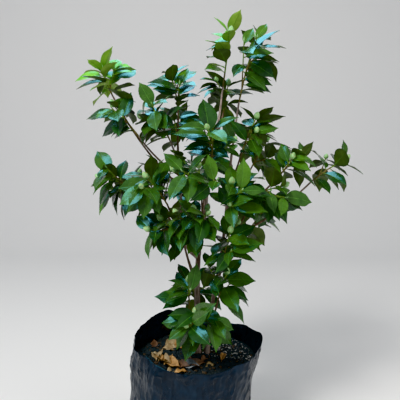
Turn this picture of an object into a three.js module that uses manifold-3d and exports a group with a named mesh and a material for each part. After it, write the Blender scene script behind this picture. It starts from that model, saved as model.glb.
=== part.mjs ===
// A young camellia shrub in the black polythene bag that it is grown in.
// Millimetres, +Z up. The origin is the middle of the bag's flat underside, and -Y is the shrub's front.
//
// Three stems rise from the compost and a fourth forks off the main one. Boughs fork off the stems, and
// each of them ends where a mass of foliage begins. A mass is one twig that goes on from its bough or stem,
// side twigs on that, leaves set spirally along them all and a flower bud at its tip, fused in a cell of
// their own.
import * as THREE from "three";
import { mergeVertices } from "three/addons/utils/BufferGeometryUtils.js";
import Module from "manifold-3d";

const wasm = await Module();
wasm.setup();

// ---- Driving dimensions ----

const GAP = 0.3; // between pieces that meet

const BAG = {
  rim: 305, // mean height
  foot: 138, // radius of the underside
  belly: 148, // radius of the side below the compost's top
  mouth: 158, // radius at the rim
  edge: 12, // height of the rounded edge round the underside
  film: 1.5,
  lean: 24, // how far right the rim's middle stands of the underside's
  columns: 30,
  rows: [12, 60, 130, 200, 268],
};
const COMPOST = 268; // height of its top
const RIM_RISES = [ // each is a rise in the rim, its place round the bag in radians, and its spread
  { height: 30, at: 2.25, spread: 0.5 },
  { height: -14, at: -1.65, spread: 0.7 },
  { height: 8, at: 0.2, spread: 0.35 },
];
const LEAF_LIMIT = { height: 330, radius: 138 }; // leaves below that height stay inside that radius

// A stem goes smoothly through its places, from its level foot or from its fork up to its tip.
const STEMS = {
  main: {
    radius: [9, 2.2],
    flare: 4.5,
    places: [
      [22, 8, 268], [23, 8, 405], [26, 8, 520], [43, 5, 634], [50, 4, 720], [74, 2, 845], [84, 0, 925],
    ],
  },
  right: {
    radius: [6.2, 2.1],
    flare: 3,
    places: [
      [47, 6, 268], [62, 6, 406], [79, 8, 494], [91, 6, 595], [97, 5, 670], [107, 3, 777], [122, 0, 890],
    ],
  },
  sucker: {
    radius: [3.4, 2],
    flare: 1.6,
    places: [[4, -20, 268], [3, -28, 300], [3, -35, 340], [4, -40, 392]],
  },
  left: {
    from: "main",
    radius: [4.6, 2],
    flare: 0,
    places: [[26, 8, 512], [3, 4, 533], [-12, 0, 575], [-16, -4, 679], [-22, -6, 746], [-41, -10, 800]],
  },
};

// fork is the height at which a bough leaves its stem, and tip is its end. A mass with no fork tops its
// stem. lean is the azimuth (0 is right, 90 is back) and the rise, in degrees, that the mass's first twig
// turns to over its length. turn is the way the first side twig points round it, and seeds the rest of the
// mass. leaves is the number on the first twig.
function mass(stem, fork, tip, lean, length, twigs, turn, leaves) {
  return { stem, fork, tip, lean, length, twigs, turn, leaves };
}
const MASSES = {
  crown_top: mass("main", null, null, [0, 80], 122, 3, 84, 8),
  crown_right: mass("right", null, null, [0, 70], 150, 3, 48, 8),
  sucker: mass("sucker", null, null, [265, 70], 82, 2, 49, 6),
  left_upper: mass("left", null, null, [208, 52], 88, 3, 29, 7),
  left_spur: mass("left", 752, [-22, 6, 870], [180, 72], 84, 2, 197, 7),
  left_high: mass("left", 690, [-180, 16, 908], [165, 64], 64, 2, 335, 6),
  left_shoulder: mass("left", 716, [-112, -26, 808], [184, 46], 88, 3, 113, 7),
  left_tip: mass("left", 612, [-114, 4, 676], [180, 4], 100, 3, 141, 7),
  left_mid: mass("left", 584, [-46, -46, 652], [221, 38], 86, 3, 287, 6),
  left_low: mass("main", 456, [-8, -42, 558], [196, 34], 80, 3, 281, 6),
  centre_high: mass("main", 700, [56, -50, 746], [268, 64], 92, 3, 253, 7),
  centre_mid: mass("main", 598, [34, -68, 666], [262, 48], 94, 4, 85, 7),
  centre_right: mass("right", 580, [100, -62, 636], [266, 50], 86, 3, 169, 7),
  centre_low: mass("main", 500, [24, -64, 580], [258, 48], 80, 3, 324, 6),
  right_upper: mass("right", 690, [130, 2, 772], [350, 62], 84, 2, 119, 6),
  right_arm: mass("right", 552, [304, 12, 704], [0, 22], 90, 1, 273, 6),
  right_arm_up: mass("right", 612, [212, -12, 710], [5, 42], 72, 2, 85, 6),
  right_mid: mass("right", 540, [150, -36, 656], [345, 8], 84, 2, 357, 6),
  right_low: mass("right", 436, [84, -46, 518], [292, 58], 84, 2, 169, 6),
  base_front: mass("main", 334, [24, -44, 362], [264, 36], 78, 3, 253, 6),
  base_right: mass("right", 346, [74, -22, 416], [300, 58], 80, 2, 273, 6),
  base_back: mass("main", 345, [18, 58, 388], [98, 34], 70, 1, 108, 5),
  back_top: mass("main", 796, [88, 68, 868], [70, 60], 84, 2, 189, 6),
  back_high: mass("left", 664, [-26, 82, 792], [112, 54], 90, 2, 0, 5),
  back_left: mass("left", 560, [-76, 96, 648], [140, 32], 100, 2, 7, 5),
  back_mid: mass("main", 580, [42, 106, 690], [92, 46], 96, 2, 273, 5),
  back_right: mass("right", 648, [164, 102, 730], [48, 40], 100, 2, 125, 5),
  back_low: mass("main", 440, [-12, 92, 528], [118, 32], 92, 2, 245, 5),
  back_low_right: mass("right", 470, [148, 88, 552], [40, 28], 96, 2, 273, 5),
};
const YOUNG = ["crown_top", "left_high"]; // the masses with this year's leaves

const BOUGH = { radius: [3.2, 1.9], steps: 4, out: 0.56, up: 0.36 }; // out and up place its bend
const TWIG = {
  steps: 2,
  first: [1.9, 1.6, 1.2], // radii of a mass's first twig
  side: [0.7, 1.4, 1.1], // radii of its side twigs, which are thin at their sunk root
  angle: 54,
  lift: 0.16,
  share: [0.55, 0.85], // a side twig's length over the first twig's
  leaves: 4,
  bare: 0.3, // share of a side twig's length that has no leaves
};
const LEAF = {
  length: [70, 94], // petiole and blade
  slim: [0.47, 0.55], // width over length
  thick: 1.7,
  fold: 0.16, // rise of the margins over the midrib, over the half width
  arch: [0.05, 0.2], // drop of the tip, over the length
  angle: [80, 60], // off the twig, on its oldest leaf and on its youngest
  droop: [0.45, 0], // downward pull on the oldest leaf and on the youngest
  slack: [450, 850, 0.45], // between those heights the pull falls to that share
  spiral: 137.5, // degrees round the twig from leaf to leaf
  tries: 14,
  roll: [-30, 30], // of its face round its length
  sway: 22, // degrees round the twig between tries
  shrink: 0.02, // of the length at each try
};
const SECTIONS = [[0, 0], [0.34, 1], [0.68, 0.8], [1, 0]]; // share of the length, and of the half width there
const SPOTS = { // shares at which leaves are tried for room
  along: [0.2, 0.36, 0.52, 0.68, 0.84, 1],
  across: [-1, -0.5, 0, 0.5, 1],
};
const BUD = { length: [15, 20], slim: 0.66, sunk: 1.5 };
const CELL_GAP = 0.5; // between a mass and the edge of its cell
const LITTER = {
  leaves: 9,
  sunk: 2.5,
  ring: [66, 108], // out from the middle
  between: [150, 250], // degrees round the bag
  turn: [80, 150], // degrees off the way out
};

// ---- Small tools ----

const vec = (x, y, z) => new THREE.Vector3(x, y, z);
const UP = vec(0, 0, 1);
const LIGHT = vec(0, -0.5, 1); // where the leaves turn their faces
const mix = (a, b, t) => a + (b - a) * t;
const radians = THREE.MathUtils.degToRad;
const smooth = THREE.MathUtils.smoothstep;
const along = (p, direction, distance) => p.clone().addScaledVector(direction, distance);

// A repeatable source of numbers between two limits.
function seeded(seed) {
  let state = seed;
  return ([low, high]) => {
    state = (state * 1664525 + 1013904223) % 4294967296;
    return mix(low, high, state / 4294967296);
  };
}

// The unit vector at an azimuth and a rise in degrees.
function heading(azimuth, rise) {
  const [a, r] = [radians(azimuth), radians(rise)];
  return vec(Math.cos(a) * Math.cos(r), Math.sin(a) * Math.cos(r), Math.sin(r));
}

// The unit vector square to axis that is turned round it from the side nearest to up.
function around(axis, turn) {
  const top = Math.abs(axis.z) < 0.95 ? UP : vec(0, 1, 0);
  const u = top.clone().addScaledVector(axis, -top.dot(axis)).normalize();
  const v = axis.clone().cross(u);
  return u.multiplyScalar(Math.cos(radians(turn))).addScaledVector(v, Math.sin(radians(turn)));
}

// The solid that a closed three.js geometry becomes when each of its vertices moves to place(x, y, z).
function reshaped(geometry, place) {
  geometry.deleteAttribute("normal");
  geometry.deleteAttribute("uv");
  const merged = mergeVertices(geometry, 1e-4);
  const corners = merged.attributes.position;
  for (let i = 0; i < corners.count; i++) {
    corners.setXYZ(i, ...place(corners.getX(i), corners.getY(i), corners.getZ(i)));
  }
  const triVerts = new Uint32Array(merged.index.array);
  return new wasm.Manifold(new wasm.Mesh({ numProp: 3, vertProperties: corners.array, triVerts }));
}

// A named mesh of a solid, in one plain finish.
function meshOf(name, made, color, roughness) {
  const { vertProperties, triVerts } = made.getMesh();
  const geometry = new THREE.BufferGeometry();
  geometry.setAttribute("position", new THREE.BufferAttribute(vertProperties, 3));
  geometry.setIndex(new THREE.BufferAttribute(triVerts, 1));
  geometry.computeVertexNormals();
  const mesh = new THREE.Mesh(geometry, new THREE.MeshStandardMaterial({ color, roughness, metalness: 0 }));
  mesh.name = name;
  return mesh;
}

// ---- Bag and compost ----

// The bag's outer radius at a height, before its creases.
function bagRadius(z) {
  const low = smooth(z, 0, 110);
  const high = smooth(z, 160, BAG.rim);
  return BAG.foot + (BAG.belly - BAG.foot) * low + (BAG.mouth - BAG.belly) * high;
}

// How far the film stands out at an angle and a height: broad creases, and a loose mouth over the compost.
function crease(angle, z) {
  const folds = 2.2 * Math.cos(5 * angle + 0.6 + z / 90) + 1.2 * Math.cos(9 * angle - 1.1 - z / 60);
  const mouth = 3 * Math.cos(4 * angle + 0.8) + 2.4 * Math.cos(7 * angle);
  return smooth(z, 0, 60) * folds + smooth(z, COMPOST - 10, BAG.rim) * mouth;
}

// Height of the rim over its mean.
function rimWave(angle) {
  const rise = ({ height, at, spread }) => height * Math.exp(-(((angle - at) / spread) ** 2));
  const rises = RIM_RISES.reduce((sum, each) => sum + rise(each), 0);
  return rises + 3 * Math.cos(3 * angle) + 2 * Math.cos(8 * angle + 1);
}

// A profile of [distance inside the bag's outer face, height] turned into the bag's leaning, creased shape.
// It starts and ends on the axis, and share is how far from the axis towards the wall each place is.
function bagShape(profile) {
  const points = profile.map(([share, inset, z]) => new THREE.Vector2(share * (bagRadius(z) - inset), z));
  return reshaped(new THREE.LatheGeometry(points, BAG.columns), (x, z, y) => {
    const r = Math.hypot(x, y);
    const angle = Math.atan2(-y, x);
    const out = r < 1e-6 ? 1 : 1 + crease(angle, z) / bagRadius(z);
    const rise = smooth(z, COMPOST, BAG.rim) * rimWave(angle);
    return [x * out + BAG.lean * (z / BAG.rim) ** 2, -y * out, z + rise];
  });
}

const EDGE_SHARE = 0.94; // where the flat of the underside ends

function growBag() {
  const outside = bagShape([
    [0, 0, 0],
    [EDGE_SHARE, 0, 0],
    ...BAG.rows.map((z) => [1, 0, z]),
    [1, 0, BAG.rim],
    [0, 0, BAG.rim],
  ]);
  const inside = bagShape([
    [0, BAG.film, BAG.film],
    [EDGE_SHARE, BAG.film, BAG.film],
    ...BAG.rows.map((z) => [1, BAG.film, z]),
    [1, BAG.film, BAG.rim],
    [1, BAG.film, BAG.rim + 60],
    [0, BAG.film, BAG.rim + 60],
  ]);
  return outside.subtract(inside);
}

// The compost fills the bag up to its level top, and some dry leaves lie half sunk in it.
function compost() {
  const clear = BAG.film + GAP;
  const filling = bagShape([
    [0, clear, clear],
    [EDGE_SHARE, clear, clear],
    ...BAG.rows.map((z) => [1, clear, z]),
    [0, clear, COMPOST],
  ]);
  return litter().reduce((sum, leaf) => sum.add(leafSolid(leaf)), filling);
}

// ---- Stems and boughs ----

const STEM_SIDES = 8;
const BOUGH_SIDES = 5;
const TWIG_SIDES = 3;
const PER_SPAN = 2;

// A round limb through points, with a radius at each. Its ends are square, or its foot square to another way.
function limbSolid({ points, radii, foot }, sides) {
  const last = points.length - 1;
  const frames = [];
  points.forEach((p, k) => {
    const tangent = points[Math.min(k + 1, last)].clone().sub(points[Math.max(k - 1, 0)]).normalize();
    if (foot && k === 0) tangent.copy(foot);
    const before = frames.at(-1)?.u ?? around(tangent, 0);
    const u = before.clone().addScaledVector(tangent, -before.dot(tangent)).normalize();
    frames.push({ u, v: u.clone().cross(tangent) });
  });
  return reshaped(new THREE.CylinderGeometry(1, 1, 1, sides, last), (x, y, z) => {
    const k = Math.round((y + 0.5) * last);
    return along(along(points[k], frames[k].u, x * radii[k]), frames[k].v, z * radii[k]);
  });
}

// A stem as a limb. Its foot is level, and stands a gap above the compost.
function stemLine({ from, radius, flare, places }) {
  const curve = new THREE.CatmullRomCurve3(places.map((p) => vec(...p)));
  const points = curve.getPoints((places.length - 1) * PER_SPAN);
  const [low, high] = [points[0].z, points.at(-1).z];
  const radii = points.map((p) => {
    const taper = mix(...radius, ((p.z - low) / (high - low)) ** 0.8);
    return taper + flare * Math.exp((low - p.z) / 14);
  });
  if (!from) points[0].z += GAP;
  return { points, radii, foot: from ? undefined : UP };
}

// The place of a limb at a height, and its radius there.
function atHeight({ points, radii }, z) {
  const k = points.findIndex((p) => p.z > z) - 1;
  const t = (z - points[k].z) / (points[k + 1].z - points[k].z);
  return { place: points[k].clone().lerp(points[k + 1], t), radius: mix(radii[k], radii[k + 1], t) };
}

// A bough as a limb. It leaves its stem at a low angle, then bends up.
function boughLine(stem, fork, tip) {
  const { place, radius } = atHeight(stem, fork);
  const end = vec(...tip);
  const bend = end.clone().sub(place).multiply(vec(BOUGH.out, BOUGH.out, BOUGH.up)).add(place);
  const points = new THREE.QuadraticBezierCurve3(place, bend, end).getPoints(BOUGH.steps);
  const thick = Math.min(BOUGH.radius[0], radius * 0.8);
  return { points, radii: points.map((_, k) => mix(thick, BOUGH.radius[1], k / BOUGH.steps)) };
}

// ---- Leaves and buds ----

// A leaf's frame and sizes: forward runs to its tip, side across it, and face out of its upper surface.
function leafAt(place, axis, turn, angle, droop, roll, size) {
  const forward = axis.clone().multiplyScalar(Math.cos(radians(angle)));
  forward.addScaledVector(around(axis, turn), Math.sin(radians(angle)));
  forward.addScaledVector(UP, -droop).normalize();
  const light = axis.clone().multiplyScalar(0.7).add(LIGHT);
  const face = light.addScaledVector(forward, -light.dot(forward)).normalize();
  face.applyAxisAngle(forward, radians(roll));
  return { place, forward, side: face.clone().cross(forward), face, ...size };
}

// How far a leaf's surface stands above its root, at a share of its length and of its half width.
function leafRise(leaf, t, s) {
  return leaf.length * (0.1 * t - (0.1 + leaf.arch) * t * t) + Math.abs(s) * leaf.half * LEAF.fold;
}

// The point of a leaf at those shares, and at a height over its surface.
function leafPoint(leaf, t, s, over = 0) {
  const p = along(leaf.place, leaf.forward, leaf.length * t);
  return along(along(p, leaf.side, leaf.half * s), leaf.face, leafRise(leaf, t, s) + over);
}

// Places all over a leaf's surface.
function leafSpots(leaf) {
  const width = (t) => Math.sqrt(Math.sin(Math.PI * t ** 0.85));
  return SPOTS.along.flatMap((t) => SPOTS.across.map((s) => leafPoint(leaf, t, s * width(t))));
}

// A leaf's solid: flat above between its two margins, with a keel along the midrib below.
function leafSolid(leaf) {
  return reshaped(new THREE.SphereGeometry(1, 3, 3), (x, y, z) => {
    const [t, width] = SECTIONS[Math.round((3 * Math.acos(y)) / Math.PI)];
    return leafPoint(leaf, t, -Math.round(z) * width, x < -0.5 ? -LEAF.thick : 0);
  });
}

function budSolid({ place, axis, length }) {
  const [u, v] = [around(axis, 0), around(axis, 90)];
  const half = length / 2;
  return reshaped(new THREE.SphereGeometry(half, 4, 3), (x, y, z) => {
    const p = along(place, axis, half - BUD.sunk - y);
    return along(along(p, u, x * BUD.slim), v, z * BUD.slim);
  });
}

// ---- Room for a leaf or a twig ----

// A mass's cell holds the places nearer to its middle than to any other's, by the power distance.
function inCell(own, p, margin) {
  return own.others.every((other) => {
    const mine = p.distanceToSquared(own.middle) - own.reach ** 2;
    const theirs = p.distanceToSquared(other.middle) - other.reach ** 2;
    return theirs - mine > 2 * margin * own.middle.distanceTo(other.middle);
  });
}

// True where a place is over the compost and clear of the bag.
function overBag(p) {
  const r = Math.hypot(p.x - BAG.lean * 0.8, p.y);
  return p.z > COMPOST + 6 && (p.z > LEAF_LIMIT.height || r < LEAF_LIMIT.radius);
}

// True if a point is within a margin of a leaf.
function nearLeaf(leaf, p, margin) {
  const d = p.clone().sub(leaf.place);
  const t = d.dot(leaf.forward) / leaf.length;
  const s = d.dot(leaf.side) / leaf.half;
  const x = (t - 0.52) / (0.5 + margin / leaf.length);
  const y = s / (1 + margin / leaf.half);
  const z = (d.dot(leaf.face) - leafRise(leaf, t, s)) / (LEAF.thick / 2 + margin);
  return x * x + y * y + z * z < 1;
}

// Places every few millimetres along a limb.
function beads({ points, radii }) {
  return points.slice(1).flatMap((p, k) => {
    const count = Math.ceil(p.distanceTo(points[k]) / 3);
    return Array.from({ length: count + 1 }, (_, i) => ({
      place: points[k].clone().lerp(p, i / count),
      radius: Math.max(radii[k], radii[k + 1]),
    }));
  });
}

// True if a leaf keeps to its cell and is clear of every bead and of the leaves before it.
function leafFits(leaf, own, taken, leaves) {
  const corners = SECTIONS.flatMap(([t, w]) => [-w, 0, w].map((s) => leafPoint(leaf, t, s)));
  if (!corners.every((p) => inCell(own, p, CELL_GAP + LEAF.thick) && overBag(p))) return false;
  if (taken.some(({ place, radius }) => nearLeaf(leaf, place, radius + 1.5))) return false;
  const spots = leafSpots(leaf);
  return leaves.every((other) => {
    if (spots.some((p) => nearLeaf(other, p, 2))) return false;
    return !leafSpots(other).some((p) => nearLeaf(leaf, p, 2));
  });
}

// True if a side twig keeps to its cell and clear of every bead.
function twigFits(twig, own, taken) {
  if (!twig.points.every((p) => inCell(own, p, CELL_GAP + BUD.length[1] / 2) && overBag(p))) return false;
  const body = beads(twig).slice(4);
  const clear = (a, b) => a.place.distanceTo(b.place) > a.radius + b.radius + 1;
  return taken.every((bead) => body.every((own) => clear(own, bead)));
}

// ---- The rule that a mass grows by ----

// A twig that starts along one direction, turns to another and lifts to the light.
function twigLine(start, from, to, length, lift, radii) {
  const points = [start];
  for (let k = 1; k <= TWIG.steps; k++) {
    const t = k / TWIG.steps;
    const way = from.clone().lerp(to, t).addScaledVector(UP, lift * t).normalize();
    points.push(along(points.at(-1), way, length / TWIG.steps));
  }
  return { points, radii };
}

// The place at a share of a twig's length, and the twig's direction there.
function onTwig({ points }, share) {
  const k = Math.min(Math.floor(share * TWIG.steps), TWIG.steps - 1);
  const step = points[k + 1].clone().sub(points[k]);
  return { place: along(points[k], step, share * TWIG.steps - k), axis: step.normalize() };
}

// The side twigs of a mass's first twig. Each is tried at a few places round it.
function sideTwigs(first, row, own, taken, random) {
  const twigs = [];
  for (let i = 0; i < row.twigs; i++) {
    const { place, axis } = onTwig(first, 0.2 + (0.6 * i) / row.twigs);
    const length = row.length * random(TWIG.share);
    for (let attempt = 0; attempt < 6; attempt++) {
      const out = around(axis, row.turn + i * LEAF.spiral + attempt * 60);
      const way = axis.clone().multiplyScalar(Math.cos(radians(TWIG.angle)));
      way.addScaledVector(out, Math.sin(radians(TWIG.angle)));
      const twig = twigLine(place, way, way, length, 2 * TWIG.lift, TWIG.side);
      if (!twigFits(twig, own, taken)) continue;
      twigs.push({ ...twig, leaves: TWIG.leaves, bare: TWIG.bare });
      break;
    }
  }
  return twigs;
}

// The leaves of a twig, from its tip down. Each is tried at several places round the twig.
function twigLeaves(twig, own, taken, leaves, random) {
  const turn = random([0, 360]);
  for (let i = 0; i < twig.leaves; i++) {
    const age = i / (twig.leaves - 1);
    const { place, axis } = onTwig(twig, mix(0.9, twig.bare, age ** 1.2));
    const length = random(LEAF.length) * mix(0.8, 1, Math.min(1, 3 * age));
    const slim = random(LEAF.slim);
    const arch = random(LEAF.arch);
    const angle = mix(LEAF.angle[1], LEAF.angle[0], age) + random([-8, 8]);
    const [low, high, least] = LEAF.slack;
    const slack = mix(1, least, smooth(place.z, low, high)) * random([0.4, 1.4]);
    const droop = mix(LEAF.droop[1], LEAF.droop[0], age) * slack;
    const roll = random(LEAF.roll);
    for (let attempt = 0; attempt < LEAF.tries; attempt++) {
      const sway = LEAF.sway * Math.ceil(attempt / 2) * (attempt % 2 ? 1 : -1);
      const size = length * (1 - LEAF.shrink * attempt);
      const sizes = { length: size, half: (size * slim) / 2, arch, age };
      const leaf = leafAt(place, axis, turn + i * LEAF.spiral + sway, angle, droop, roll, sizes);
      if (!leafFits(leaf, own, taken, leaves)) continue;
      leaves.push(leaf);
      break;
    }
  }
}

// Grows one mass from its start. taken is the beads of all limbs.
function grow(row, index, start, axis, own, taken) {
  const random = seeded(1000 + 77 * index + 7919 * row.turn);
  const line = twigLine(start, axis, heading(...row.lean), row.length, TWIG.lift, TWIG.first);
  const first = { ...line, foot: axis, leaves: row.leaves, bare: 0.14 };
  const twigs = [first, ...sideTwigs(first, row, own, taken, random)];
  const leaves = [];
  for (const twig of twigs) {
    const others = twigs.filter((other) => other !== twig).flatMap((other) => beads(other).slice(4));
    twigLeaves(twig, own, [...taken, ...others], leaves, random);
  }
  const { place, axis: way } = onTwig(first, 1);
  const bud = { place, axis: way.addScaledVector(UP, 0.3).normalize(), length: random(BUD.length) };
  return { twigs, leaves, bud };
}

// The dry leaves that lie about on the compost, to one side of the stems.
function litter() {
  const random = seeded(5);
  return Array.from({ length: LITTER.leaves }, () => {
    const azimuth = random(LITTER.between);
    const middle = vec(BAG.lean * 0.8, 0, COMPOST - LITTER.sunk);
    const place = along(middle, heading(azimuth, 0), random(LITTER.ring));
    const length = random([44, 60]);
    const sizes = { length, half: length * random([0.2, 0.28]), arch: random([-0.05, 0.1]) };
    return leafAt(place, heading(azimuth + random(LITTER.turn), 10), 0, 0, 0, 0, sizes);
  });
}

// ---- Assembly ----

const shrub = new THREE.Group();
shrub.add(meshOf("grow_bag", growBag(), 0x101418, 0.35));
shrub.add(meshOf("compost", compost(), 0x1d1713, 0.95));

const stems = {};
for (const [name, stem] of Object.entries(STEMS)) stems[name] = stemLine(stem);
const boughs = {};
for (const [name, { stem, fork, tip }] of Object.entries(MASSES)) {
  if (fork) boughs[name] = boughLine(stems[stem], fork, tip);
}

// A limb that forks off a stem, cut off a gap outside that stem's bark.
function forked(limb, stem) {
  const bark = { ...stem, radii: stem.radii.map((r) => r + GAP * 1.2) };
  return limb.subtract(limbSolid(bark, STEM_SIDES));
}
for (const [name, { from }] of Object.entries(STEMS)) {
  const whole = limbSolid(stems[name], STEM_SIDES);
  shrub.add(meshOf(`stem_${name}`, from ? forked(whole, stems[from]) : whole, 0x6b5548, 0.85));
}
for (const [name, bough] of Object.entries(boughs)) {
  const cut = forked(limbSolid(bough, BOUGH_SIDES), stems[MASSES[name].stem]);
  shrub.add(meshOf(`bough_${name}`, cut, 0x5d4a3a, 0.85));
}

// Each mass starts a gap past the end of its bough or stem.
const starts = Object.entries(MASSES).map(([name, row]) => {
  const { points } = boughs[name] ?? stems[row.stem];
  const axis = points.at(-1).clone().sub(points.at(-2)).normalize();
  return { start: along(points.at(-1), axis, GAP), axis };
});
const cells = Object.values(MASSES).map((row, i) => ({
  middle: along(starts[i].start, heading(...row.lean), row.length * 0.75),
  reach: row.length * 0.6,
}));
for (const cell of cells) cell.others = cells.filter((other) => other !== cell);

const taken = [...Object.values(stems), ...Object.values(boughs)].flatMap(beads);
const masses = Object.entries(MASSES).map(([name, row], i) => {
  const { start, axis } = starts[i];
  return { name, ...grow(row, i, start, axis, cells[i], taken) };
});
for (const { name, twigs, leaves, bud } of masses) {
  const wood = twigs.map((twig) => limbSolid(twig, TWIG_SIDES));
  const whole = [...wood, ...leaves.map(leafSolid)].reduce((sum, part) => sum.add(part), budSolid(bud));
  shrub.add(meshOf(`foliage_${name}`, whole, YOUNG.includes(name) ? 0x4c8428 : 0x1f4a1c, 0.4));
}

export default shrub;
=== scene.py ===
from math import ceil, cos, pi, radians, sin, sqrt

import bpy
import numpy as np
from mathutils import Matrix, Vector, noise


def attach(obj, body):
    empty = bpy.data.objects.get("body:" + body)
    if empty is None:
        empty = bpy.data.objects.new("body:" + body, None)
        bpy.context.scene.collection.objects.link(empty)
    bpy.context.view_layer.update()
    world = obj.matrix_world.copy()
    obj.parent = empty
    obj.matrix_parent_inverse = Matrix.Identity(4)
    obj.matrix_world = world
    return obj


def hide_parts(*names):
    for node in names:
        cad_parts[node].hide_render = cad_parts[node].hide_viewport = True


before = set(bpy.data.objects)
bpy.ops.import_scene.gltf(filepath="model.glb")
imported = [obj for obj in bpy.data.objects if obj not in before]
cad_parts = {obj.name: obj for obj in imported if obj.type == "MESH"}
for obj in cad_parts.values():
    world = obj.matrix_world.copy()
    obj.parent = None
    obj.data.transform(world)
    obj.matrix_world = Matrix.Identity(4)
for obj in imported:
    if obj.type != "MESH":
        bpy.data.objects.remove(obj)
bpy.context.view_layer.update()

MM = 0.001

# ---- Sizes, as in the solids' source (millimetres and degrees) ----

GAP = 0.3
BAG = dict(rim=305, foot=138, belly=148, mouth=158, lean=24)
COMPOST = 268
BED_X = BAG["lean"] * 0.8  # the middle of the compost's top
RIM_RISES = [(30, 2.25, 0.5), (-14, -1.65, 0.7), (8, 0.2, 0.35)]  # height, azimuth and spread in radians
LEAF_LIMIT = dict(height=330, radius=138, over=6)  # inside the radius up to the height, over the compost

# A stem goes smoothly through its places, from its foot or its fork up to its tip.
STEMS = {
    "main": dict(radius=(9, 2.2), flare=4.5, places=[
        (22, 8, 268), (23, 8, 405), (26, 8, 520), (43, 5, 634), (50, 4, 720), (74, 2, 845), (84, 0, 925)]),
    "right": dict(radius=(6.2, 2.1), flare=3, places=[
        (47, 6, 268), (62, 6, 406), (79, 8, 494), (91, 6, 595), (97, 5, 670), (107, 3, 777), (122, 0, 890)]),
    "sucker": dict(radius=(3.4, 2), flare=1.6, places=[
        (4, -20, 268), (3, -28, 300), (3, -35, 340), (4, -40, 392)]),
    "left": dict(forked=True, radius=(4.6, 2), flare=0, places=[
        (26, 8, 512), (3, 4, 533), (-12, 0, 575), (-16, -4, 679), (-22, -6, 746), (-41, -10, 800)]),
}


def mass(*row):
    """A mass of foliage at the end of a stem, or of a bough from the height of a fork on it to a tip.

    lean is the azimuth and rise of its first twig, and turn is a part of its seed.
    """
    return dict(zip(("stem", "fork", "tip", "lean", "length", "twigs", "turn", "leaves"), row))


MASSES = {
    "crown_top": mass("main", None, None, (0, 80), 122, 3, 84, 8),
    "crown_right": mass("right", None, None, (0, 70), 150, 3, 48, 8),
    "sucker": mass("sucker", None, None, (265, 70), 82, 2, 49, 6),
    "left_upper": mass("left", None, None, (208, 52), 88, 3, 29, 7),
    "left_spur": mass("left", 752, (-22, 6, 870), (180, 72), 84, 2, 197, 7),
    "left_high": mass("left", 690, (-180, 16, 908), (165, 64), 64, 2, 335, 6),
    "left_shoulder": mass("left", 716, (-112, -26, 808), (184, 46), 88, 3, 113, 7),
    "left_tip": mass("left", 612, (-114, 4, 676), (180, 4), 100, 3, 141, 7),
    "left_mid": mass("left", 584, (-46, -46, 652), (221, 38), 86, 3, 287, 6),
    "left_low": mass("main", 456, (-8, -42, 558), (196, 34), 80, 3, 281, 6),
    "centre_high": mass("main", 700, (56, -50, 746), (268, 64), 92, 3, 253, 7),
    "centre_mid": mass("main", 598, (34, -68, 666), (262, 48), 94, 4, 85, 7),
    "centre_right": mass("right", 580, (100, -62, 636), (266, 50), 86, 3, 169, 7),
    "centre_low": mass("main", 500, (24, -64, 580), (258, 48), 80, 3, 324, 6),
    "right_upper": mass("right", 690, (130, 2, 772), (350, 62), 84, 2, 119, 6),
    "right_arm": mass("right", 552, (304, 12, 704), (0, 22), 90, 1, 273, 6),
    "right_arm_up": mass("right", 612, (212, -12, 710), (5, 42), 72, 2, 85, 6),
    "right_mid": mass("right", 540, (150, -36, 656), (345, 8), 84, 2, 357, 6),
    "right_low": mass("right", 436, (84, -46, 518), (292, 58), 84, 2, 169, 6),
    "base_front": mass("main", 334, (24, -44, 362), (264, 36), 78, 3, 253, 6),
    "base_right": mass("right", 346, (74, -22, 416), (300, 58), 80, 2, 273, 6),
    "base_back": mass("main", 345, (18, 58, 388), (98, 34), 70, 1, 108, 5),
    "back_top": mass("main", 796, (88, 68, 868), (70, 60), 84, 2, 189, 6),
    "back_high": mass("left", 664, (-26, 82, 792), (112, 54), 90, 2, 0, 5),
    "back_left": mass("left", 560, (-76, 96, 648), (140, 32), 100, 2, 7, 5),
    "back_mid": mass("main", 580, (42, 106, 690), (92, 46), 96, 2, 273, 5),
    "back_right": mass("right", 648, (164, 102, 730), (48, 40), 100, 2, 125, 5),
    "back_low": mass("main", 440, (-12, 92, 528), (118, 32), 92, 2, 245, 5),
    "back_low_right": mass("right", 470, (148, 88, 552), (40, 28), 96, 2, 273, 5),
}
YOUNG = ("crown_top", "left_high")  # the masses with this year's leaves
SHADED_LOW = ("sucker", "base_front", "base_right", "base_back")  # the low masses, whose leaves take only the darker tones as painted shade

FLARE_FADE = 14  # height in which a stem's flare falls to a third
STEM_TAPER = 0.8
BOUGH = dict(radius=(3.2, 1.9), of_stem=0.8, steps=4, out=0.56, up=0.36)
BEAD = 3  # distance between the places that stand for a limb
SKIP = 4  # places left out at a twig's foot, which touches what it grows from
TWIG = dict(steps=2, lift=0.16, radii=(1.9, 1.6, 1.2))
SIDE_TWIG = dict(
    forks=(0.2, 0.6), share=(0.55, 0.85), angle=54, tries=6, radii=(1.5, 1.3, 0.9), leaves=4, gap=1)
BARE = (0.1, 0.26)  # shares of a twig without leaves: of the first twig, and of a side twig
# The angle and droop are those at a twig's tip and at its foot.
LEAF = dict(angle=(60, 80), stray=(-8, 8), droop=(0, 0.45), roll=(-30, 30), spiral=137.5, thick=1.7)
LEAF_SLACK = dict(heights=(450, 850), least=0.45, luck=(0.4, 1.4))  # of the droop, less higher up
LEAF_LIFT, LEAF_FOLD = 0.1, 0.16  # how a leaf rises from its stalk, and from its midrib to its margin
CELL_GAP, TWIG_ROOM = 0.5, 10  # what leaves and twigs keep free at the borders of their cell
CELL_MIDDLE, CELL_REACH = 0.75, 0.6  # shares of a mass's length

# ---- Sizes of the look only ----

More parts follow.
